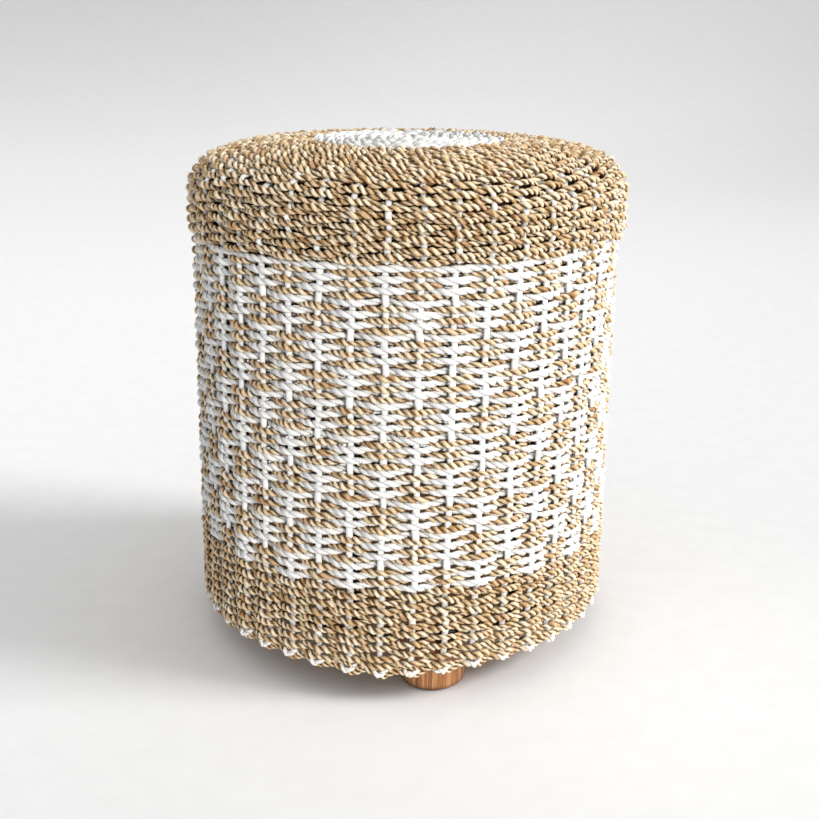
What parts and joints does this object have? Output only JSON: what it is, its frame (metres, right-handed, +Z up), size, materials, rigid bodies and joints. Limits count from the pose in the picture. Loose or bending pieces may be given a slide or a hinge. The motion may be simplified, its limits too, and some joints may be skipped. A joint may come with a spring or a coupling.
{
  "type": "storage ottoman",
  "caption": "Round drum-shaped ottoman woven from natural and white twisted seagrass rope, with a domed lift-off lid over a storage space, on short turned wooden feet.",
  "frame": {"origin": "on the floor, under the middle of the ottoman", "axes": "+Z up along the drum's axis, -Y towards the front, where one foot shows under the hem"},
  "size_m": [0.389, 0.389, 0.4532],
  "materials": {
    "seagrass_natural": "matt twisted seagrass rope",
    "seagrass_white": "matt white painted seagrass rope",
    "teak": "oiled teak, satin",
    "plywood": "sanded plywood",
    "frame_steel": "black powder coat, satin",
    "fastener_steel": "zinc plated",
    "pad_foam": "open cell foam",
    "pad_fabric": "dark brown cotton"
  },
  "bodies": {
    "base": {"foot_front": "teak", "foot_right": "teak", "foot_back": "teak", "foot_left": "teak", "foot_bolts": "fastener_steel", "base_board": "plywood", "board_screws": "fastener_steel", "cross_bar_lower": "frame_steel", "cross_bar_upper": "frame_steel", "bottom_hoop": "frame_steel", "middle_hoop": "frame_steel", "top_hoop": "frame_steel", "upright_1": "frame_steel", "upright_2": "frame_steel", "upright_3": "frame_steel", "upright_4": "frame_steel", "upright_5": "frame_steel", "upright_6": "frame_steel", "upright_7": "frame_steel", "upright_8": "frame_steel", "hem_border": "seagrass_natural", "bottom_band": "seagrass_natural", "chequered_wall": "seagrass_natural", "rim_binding": "seagrass_natural"},
    "lid": {"lid_board": "plywood", "locating_disc": "plywood", "locating_screws": "fastener_steel", "lid_hoop": "frame_steel", "pad_cover": "pad_fabric", "seat_pad": "pad_foam", "lid_skirt": "seagrass_natural", "lid_crown": "seagrass_natural", "lid_centre": "seagrass_white"}
  },
  "joints": [
    {"name": "lid_lift", "type": "slide", "parent": "base", "child": "lid", "axis": [0, 0, 1], "range_m": [0, 0.25]}
  ]
}
